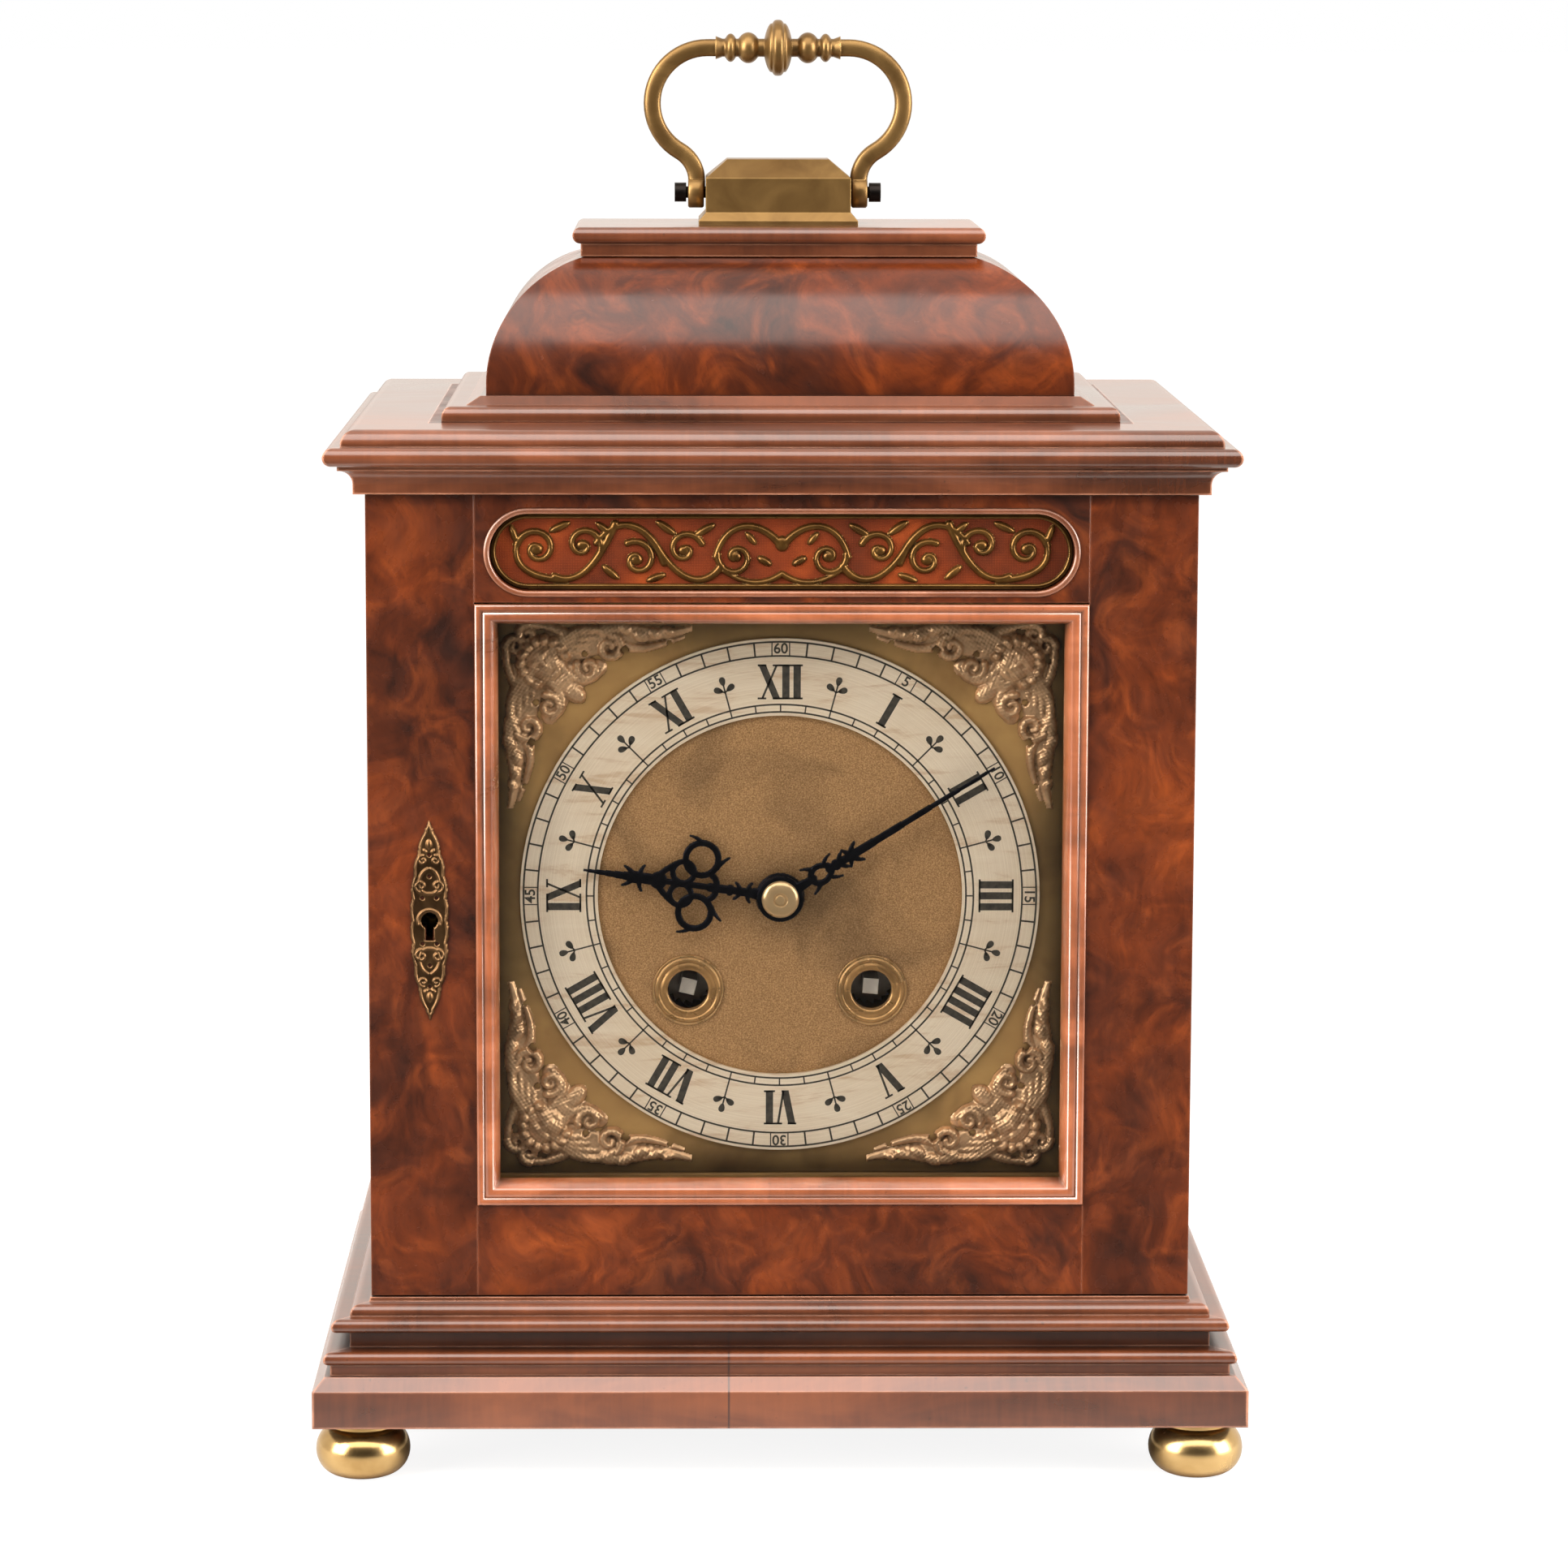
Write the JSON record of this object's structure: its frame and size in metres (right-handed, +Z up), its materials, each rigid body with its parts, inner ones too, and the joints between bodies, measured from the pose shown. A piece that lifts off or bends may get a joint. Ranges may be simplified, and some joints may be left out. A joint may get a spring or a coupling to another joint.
{
  "type": "bracket clock",
  "caption": "Bracket clock in a walnut case with caddy top, carrying handle, glazed doors, brass dial with silvered numeral ring and a spring-driven striking movement.",
  "frame": {"origin": "on the ground under the middle of the case", "axes": "+Z up along the height, the dial faces -Y, +X to the right of the dial"},
  "size_m": [0.2492, 0.1902, 0.3869],
  "materials": {
    "walnut_veneer": "French-polished burr walnut veneer",
    "walnut_moulding": "polished cross-grain walnut moulding",
    "carcase_wood": "plain oak, waxed",
    "polished_brass": "polished and lacquered",
    "aged_brass": "aged, rubbed bright on the high places",
    "matted_brass": "matted centre, satin corners",
    "clock_brass": "grained clock brass",
    "silvered_brass": "silvered, with wax-filled engraving",
    "blued_steel": "heat blued",
    "bright_steel": "bright turned steel",
    "dark_steel": "browned steel",
    "window_glass": "clear sheet glass",
    "fret_cloth": "plain woven silk",
    "cast_iron": "black cast iron"
  },
  "bodies": {
    "case": {"bun_feet": "polished_brass", "plinth_moulding": "walnut_moulding", "base_moulding": "walnut_moulding", "cornice_moulding": "walnut_moulding", "door_pivot_plates": "polished_brass", "floor_board": "carcase_wood", "top_board": "walnut_veneer", "side_panel_left": "walnut_veneer", "side_panel_right": "walnut_veneer", "dial_mask": "carcase_wood", "caddy_base_moulding": "walnut_moulding", "caddy_dome": "walnut_veneer", "caddy_top_pad": "walnut_moulding", "handle_base": "aged_brass", "handle_pivot_screws": "dark_steel", "dial_plate": "matted_brass", "chapter_ring": "silvered_brass", "winding_collars": "matted_brass", "corner_spandrels": "aged_brass", "movement_front_plate": "clock_brass", "movement_back_plate": "clock_brass", "pendulum_cock": "clock_brass", "gong_coil": "blued_steel", "gong_stand": "cast_iron", "seat_board": "carcase_wood"},
    "front_door": {"door_stile_left": "walnut_veneer", "door_stile_right": "walnut_veneer", "door_pivot_pins": "bright_steel", "door_rail_bottom": "walnut_veneer", "door_rail_top": "walnut_veneer", "door_sight_moulding": "walnut_moulding", "door_glass": "window_glass", "sound_fret": "aged_brass", "fret_silk": "fret_cloth", "keyhole_escutcheon": "aged_brass", "door_lock": "clock_brass"},
    "door_bolt": {"lock_bolt": "bright_steel"},
    "rear_door": {"rear_door_frame": "walnut_moulding", "rear_door_glass": "window_glass", "rear_door_pivot_pins": "bright_steel", "rear_door_knob": "polished_brass"},
    "handle": {"carrying_handle": "aged_brass"},
    "minute_train": {"minute_hand": "blued_steel", "hand_collet": "polished_brass", "cannon_pinion": "clock_brass", "centre_wheel": "clock_brass"},
    "hour_train": {"hour_hand": "blued_steel", "hour_wheel": "clock_brass"},
    "motion_wheel": {"minute_wheel": "clock_brass"},
    "second_wheel": {"intermediate_wheel": "clock_brass"},
    "third_train_wheel": {"third_wheel": "clock_brass"},
    "escape": {"escape_wheel": "clock_brass"},
    "going_spring_barrel": {"going_barrel": "clock_brass"},
    "going_arbor": {"going_winding_arbor": "bright_steel"},
    "strike_spring_barrel": {"strike_barrel": "clock_brass"},
    "strike_arbor": {"strike_winding_arbor": "bright_steel"},
    "strike_wheel": {"strike_pin_wheel": "clock_brass"},
    "pendulum_swing": {"pendulum": "clock_brass", "pallet_anchor": "bright_steel"},
    "hammer": {"strike_hammer": "bright_steel"}
  },
  "joints": [
    {"name": "front_door_hinge", "type": "hinge", "parent": "case", "child": "front_door", "pos_m": [0.1065, -0.068, 0.1537], "axis": [0, 0, 1], "range_deg": [0, 90]},
    {"name": "lock_bolt_slide", "type": "slide", "parent": "front_door", "child": "door_bolt", "axis": [-1, 0, 0], "range_m": [0, 0.005]},
    {"name": "rear_door_hinge", "type": "hinge", "parent": "case", "child": "rear_door", "pos_m": [-0.0911, 0.072, 0.1537], "axis": [0, 0, 1], "range_deg": [0, 90]},
    {"name": "handle_fold", "type": "hinge", "parent": "case", "child": "handle", "pos_m": [0, 0, 0.3395], "axis": [1, 0, 0], "range_deg": [-95, 95]},
    {"name": "minute_hand_turn", "type": "hinge", "parent": "case", "child": "minute_train", "pos_m": [0, -0.05, 0.1537], "axis": [0, 1, 0], "continuous": true},
    {"name": "hour_hand_turn", "type": "hinge", "parent": "case", "child": "hour_train", "pos_m": [0, -0.05, 0.1537], "axis": [0, 1, 0], "continuous": true},
    {"name": "motion_wheel_turn", "type": "hinge", "parent": "case", "child": "motion_wheel", "pos_m": [0, -0.05, 0.1397], "axis": [0, 1, 0], "continuous": true},
    {"name": "intermediate_wheel_turn", "type": "hinge", "parent": "case", "child": "second_wheel", "pos_m": [0.02052, -0.02, 0.15354], "axis": [0, 1, 0], "continuous": true},
    {"name": "third_wheel_turn", "type": "hinge", "parent": "case", "child": "third_train_wheel", "pos_m": [-0.0085, -0.02, 0.16842], "axis": [0, 1, 0], "continuous": true},
    {"name": "escape_wheel_turn", "type": "hinge", "parent": "case", "child": "escape", "pos_m": [0, -0.02, 0.17891], "axis": [0, 1, 0], "continuous": true},
    {"name": "going_barrel_turn", "type": "hinge", "parent": "case", "child": "going_spring_barrel", "pos_m": [0.0247, -0.02, 0.1277], "axis": [0, 1, 0], "continuous": true},
    {"name": "going_winding_turn", "type": "hinge", "parent": "case", "child": "going_arbor", "pos_m": [0.0247, -0.02, 0.1277], "axis": [0, 1, 0], "continuous": true},
    {"name": "strike_barrel_turn", "type": "hinge", "parent": "case", "child": "strike_spring_barrel", "pos_m": [-0.0247, -0.02, 0.1277], "axis": [0, 1, 0], "continuous": true},
    {"name": "strike_winding_turn", "type": "hinge", "parent": "case", "child": "strike_arbor", "pos_m": [-0.0247, -0.02, 0.1277], "axis": [0, 1, 0], "continuous": true},
    {"name": "strike_wheel_turn", "type": "hinge", "parent": "case", "child": "strike_wheel", "pos_m": [-0.036, -0.02, 0.15132], "axis": [0, 1, 0], "continuous": true},
    {"name": "pendulum_swing", "type": "hinge", "parent": "case", "child": "pendulum_swing", "pos_m": [0, 0.014, 0.1977], "axis": [0, 1, 0], "range_deg": [-3, 3]},
    {"name": "hammer_lift", "type": "hinge", "parent": "case", "child": "hammer", "pos_m": [-0.04, 0.02, 0.1757], "axis": [0, 1, 0], "range_deg": [0, 14]}
  ],
  "couplings": [
    {"joint": "minute_hand_turn", "follows": "escape_wheel_turn", "ratio": 0.0079545},
    {"joint": "hour_hand_turn", "follows": "escape_wheel_turn", "ratio": 0.00066288},
    {"joint": "motion_wheel_turn", "follows": "escape_wheel_turn", "ratio": -0.0026515},
    {"joint": "intermediate_wheel_turn", "follows": "escape_wheel_turn", "ratio": -0.0011136},
    {"joint": "going_barrel_turn", "follows": "escape_wheel_turn", "ratio": 0.00014848},
    {"joint": "third_wheel_turn", "follows": "escape_wheel_turn", "ratio": -0.090909},
    {"joint": "strike_barrel_turn", "follows": "strike_wheel_turn", "ratio": -0.13333}
  ]
}
